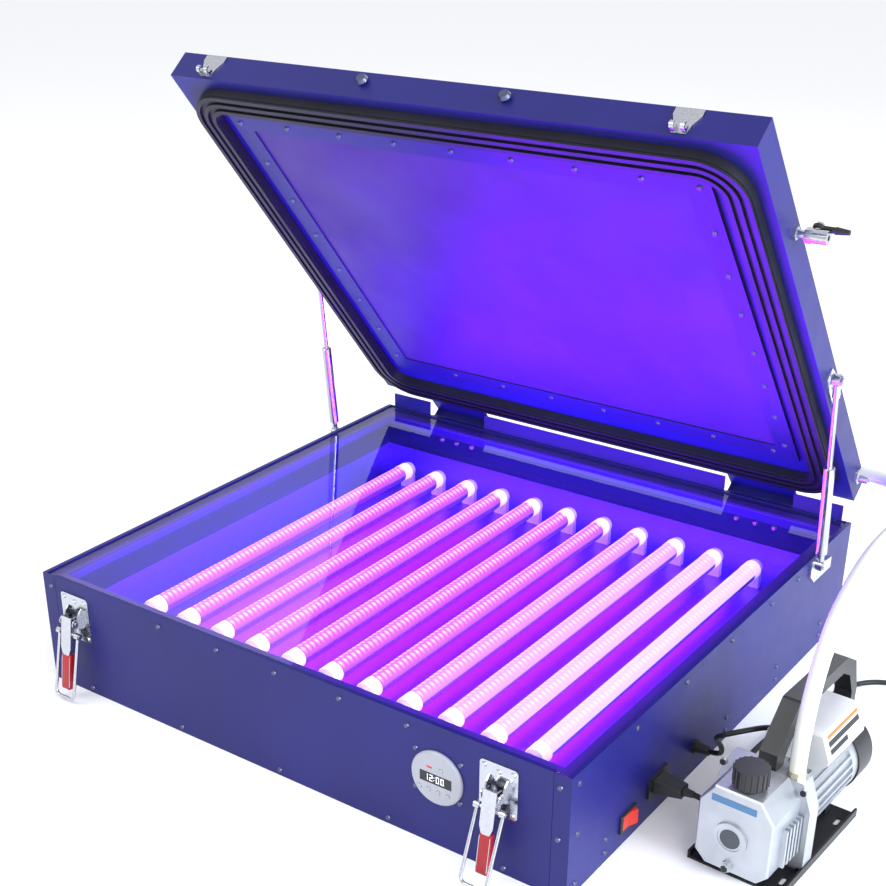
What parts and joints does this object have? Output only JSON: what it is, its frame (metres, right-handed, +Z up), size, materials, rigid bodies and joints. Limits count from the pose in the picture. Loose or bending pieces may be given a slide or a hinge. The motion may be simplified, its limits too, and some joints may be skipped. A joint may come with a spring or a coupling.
{
  "type": "screen printing exposure unit",
  "caption": "Sheet steel exposure unit with a glass bed over a row of lamp tubes, a hinged vacuum lid on gas struts, two draw latches, and a vacuum pump beside it.",
  "frame": {"origin": "middle of the cabinet underside, on the floor", "axes": "+Z up, -Y is the front with the latches, +X is the side where the pump stands"},
  "size_m": [1.1033, 0.8543, 0.7847],
  "materials": {
    "cabinet_paint": "satin",
    "bed_glass": "gloss",
    "reflector": "satin",
    "lamp_alu": "satin",
    "lamp_clear": "gloss",
    "lamp_white": "gloss",
    "zinc": "satin",
    "grey_plastic": "satin",
    "lcd": "gloss",
    "black_plastic": "satin",
    "rocker_red": "gloss",
    "latch_steel": "polished",
    "strut_steel": "polished",
    "seal_rubber": "satin",
    "blanket_rubber": "satin",
    "valve_metal": "polished",
    "brass_plated": "satin",
    "pump_alloy": "satin",
    "black_steel": "satin",
    "label_white": "satin",
    "cable_black": "satin",
    "hose_clear": "gloss"
  },
  "bodies": {
    "cabinet": {"base_panel": "cabinet_paint", "cord_gland": "black_plastic", "exposure_glass": "bed_glass", "front_panel": "cabinet_paint", "glass_ledge": "cabinet_paint", "hinge_cabinet_leaves": "cabinet_paint", "iec_plug": "black_plastic", "lamp_covers": "lamp_clear", "lamp_end_caps": "lamp_white", "lamp_heatsinks": "lamp_alu", "lamp_holders": "lamp_white", "latch_bases": "latch_steel", "mains_inlet": "black_plastic", "mains_lead": "cable_black", "mains_lead_coil": "cable_black", "mains_plug": "black_plastic", "panel_screws": "zinc", "pump_base": "black_steel", "pump_fan_cover": "black_plastic", "pump_flange": "pump_alloy", "pump_handle": "black_plastic", "pump_inlet": "brass_plated", "pump_lead": "cable_black", "pump_motor": "pump_alloy", "pump_oil_cap": "black_plastic", "pump_oil_case": "pump_alloy", "pump_terminal_box": "label_white", "rear_panel": "cabinet_paint", "reflector_tray": "reflector", "side_panels": "cabinet_paint", "strut_cabinet_brackets": "zinc", "switch_body": "black_plastic", "timer_body": "grey_plastic", "timer_display": "lcd", "vacuum_hose": "hose_clear"},
    "lid": {"lid_pan": "cabinet_paint", "lid_seal": "seal_rubber", "rubber_blanket": "blanket_rubber", "blanket_frame": "cabinet_paint", "lid_screws": "zinc", "latch_keepers": "latch_steel", "vacuum_port": "zinc", "valve_body": "valve_metal", "hinge_lid_leaves": "cabinet_paint", "strut_lid_brackets": "zinc"},
    "left_strut_cylinder": {"left_strut_cylinder": "strut_steel"},
    "right_strut_cylinder": {"right_strut_cylinder": "strut_steel"},
    "left_strut_rod": {"left_strut_rod": "strut_steel"},
    "right_strut_rod": {"right_strut_rod": "strut_steel"},
    "left_latch_lever": {"left_latch_lever": "latch_steel"},
    "right_latch_lever": {"right_latch_lever": "latch_steel"},
    "left_latch_hook": {"left_latch_hook": "latch_steel"},
    "right_latch_hook": {"right_latch_hook": "latch_steel"},
    "valve_lever": {"valve_lever": "black_plastic"},
    "switch_rocker": {"switch_rocker": "rocker_red"},
    "timer_button_1": {"timer_button_1": "grey_plastic"},
    "timer_button_2": {"timer_button_2": "grey_plastic"},
    "timer_button_3": {"timer_button_3": "grey_plastic"},
    "timer_button_4": {"timer_button_4": "grey_plastic"},
    "timer_button_5": {"timer_button_5": "grey_plastic"}
  },
  "joints": [
    {"name": "lid_hinge", "type": "hinge", "parent": "cabinet", "child": "lid", "pos_m": [0, 0.39235, 0.1564], "axis": [1, 0, 0], "range_deg": [0, 50.7], "deforming": ["vacuum_hose"]},
    {"name": "left_strut_turn", "type": "hinge", "parent": "cabinet", "child": "left_strut_cylinder", "pos_m": [-0.42, 0.252, 0.154], "axis": [1, 0, 0], "range_deg": [0, 70.5]},
    {"name": "left_strut_slide", "type": "slide", "parent": "left_strut_cylinder", "child": "left_strut_rod", "axis": [0, -0.1108, 0.9938], "range_m": [-0.0928, 0]},
    {"name": "right_strut_turn", "type": "hinge", "parent": "cabinet", "child": "right_strut_cylinder", "pos_m": [0.42, 0.252, 0.154], "axis": [1, 0, 0], "range_deg": [0, 70.5]},
    {"name": "right_strut_slide", "type": "slide", "parent": "right_strut_cylinder", "child": "right_strut_rod", "axis": [0, -0.1108, 0.9938], "range_m": [-0.0928, 0]},
    {"name": "left_latch_lever_turn", "type": "hinge", "parent": "cabinet", "child": "left_latch_lever", "pos_m": [-0.3508, -0.401, 0.112], "axis": [-1, 0, 0], "range_deg": [0, 90]},
    {"name": "left_latch_hook_turn", "type": "hinge", "parent": "left_latch_lever", "child": "left_latch_hook", "pos_m": [-0.3508, -0.404, 0.096], "axis": [-1, 0, 0], "range_deg": [0, 90]},
    {"name": "right_latch_lever_turn", "type": "hinge", "parent": "cabinet", "child": "right_latch_lever", "pos_m": [0.32, -0.401, 0.112], "axis": [-1, 0, 0], "range_deg": [0, 90]},
    {"name": "right_latch_hook_turn", "type": "hinge", "parent": "right_latch_lever", "child": "right_latch_hook", "pos_m": [0.32, -0.404, 0.096], "axis": [-1, 0, 0], "range_deg": [0, 84]},
    {"name": "valve_lever_turn", "type": "hinge", "parent": "lid", "child": "valve_lever", "pos_m": [0.434, 0.04774, 0.64627], "axis": [0, 0.7738, 0.6334], "range_deg": [0, 90]},
    {"name": "switch_rock", "type": "hinge", "parent": "cabinet", "child": "switch_rocker", "pos_m": [0.409, -0.2526, 0.032], "axis": [0, 0, 1], "range_deg": [0, 24]},
    {"name": "timer_button_1_press", "type": "slide", "parent": "cabinet", "child": "timer_button_1", "axis": [0, 1, 0], "range_m": [0, 0.0008], "stiffness_N_per_m": 400},
    {"name": "timer_button_2_press", "type": "slide", "parent": "cabinet", "child": "timer_button_2", "axis": [0, 1, 0], "range_m": [0, 0.0008], "stiffness_N_per_m": 400},
    {"name": "timer_button_3_press", "type": "slide", "parent": "cabinet", "child": "timer_button_3", "axis": [0, 1, 0], "range_m": [0, 0.0008], "stiffness_N_per_m": 400},
    {"name": "timer_button_4_press", "type": "slide", "parent": "cabinet", "child": "timer_button_4", "axis": [0, 1, 0], "range_m": [0, 0.0008], "stiffness_N_per_m": 400},
    {"name": "timer_button_5_press", "type": "slide", "parent": "cabinet", "child": "timer_button_5", "axis": [0, 1, 0], "range_m": [0, 0.0008], "stiffness_N_per_m": 400}
  ],
  "couplings": [
    {"joint": "left_strut_turn", "follows": "lid_hinge", "ratio": 1.3895},
    {"joint": "left_strut_slide", "follows": "lid_hinge", "m_per_rad": -0.10468},
    {"joint": "right_strut_turn", "follows": "lid_hinge", "ratio": 1.3895},
    {"joint": "right_strut_slide", "follows": "lid_hinge", "m_per_rad": -0.10468}
  ]
}
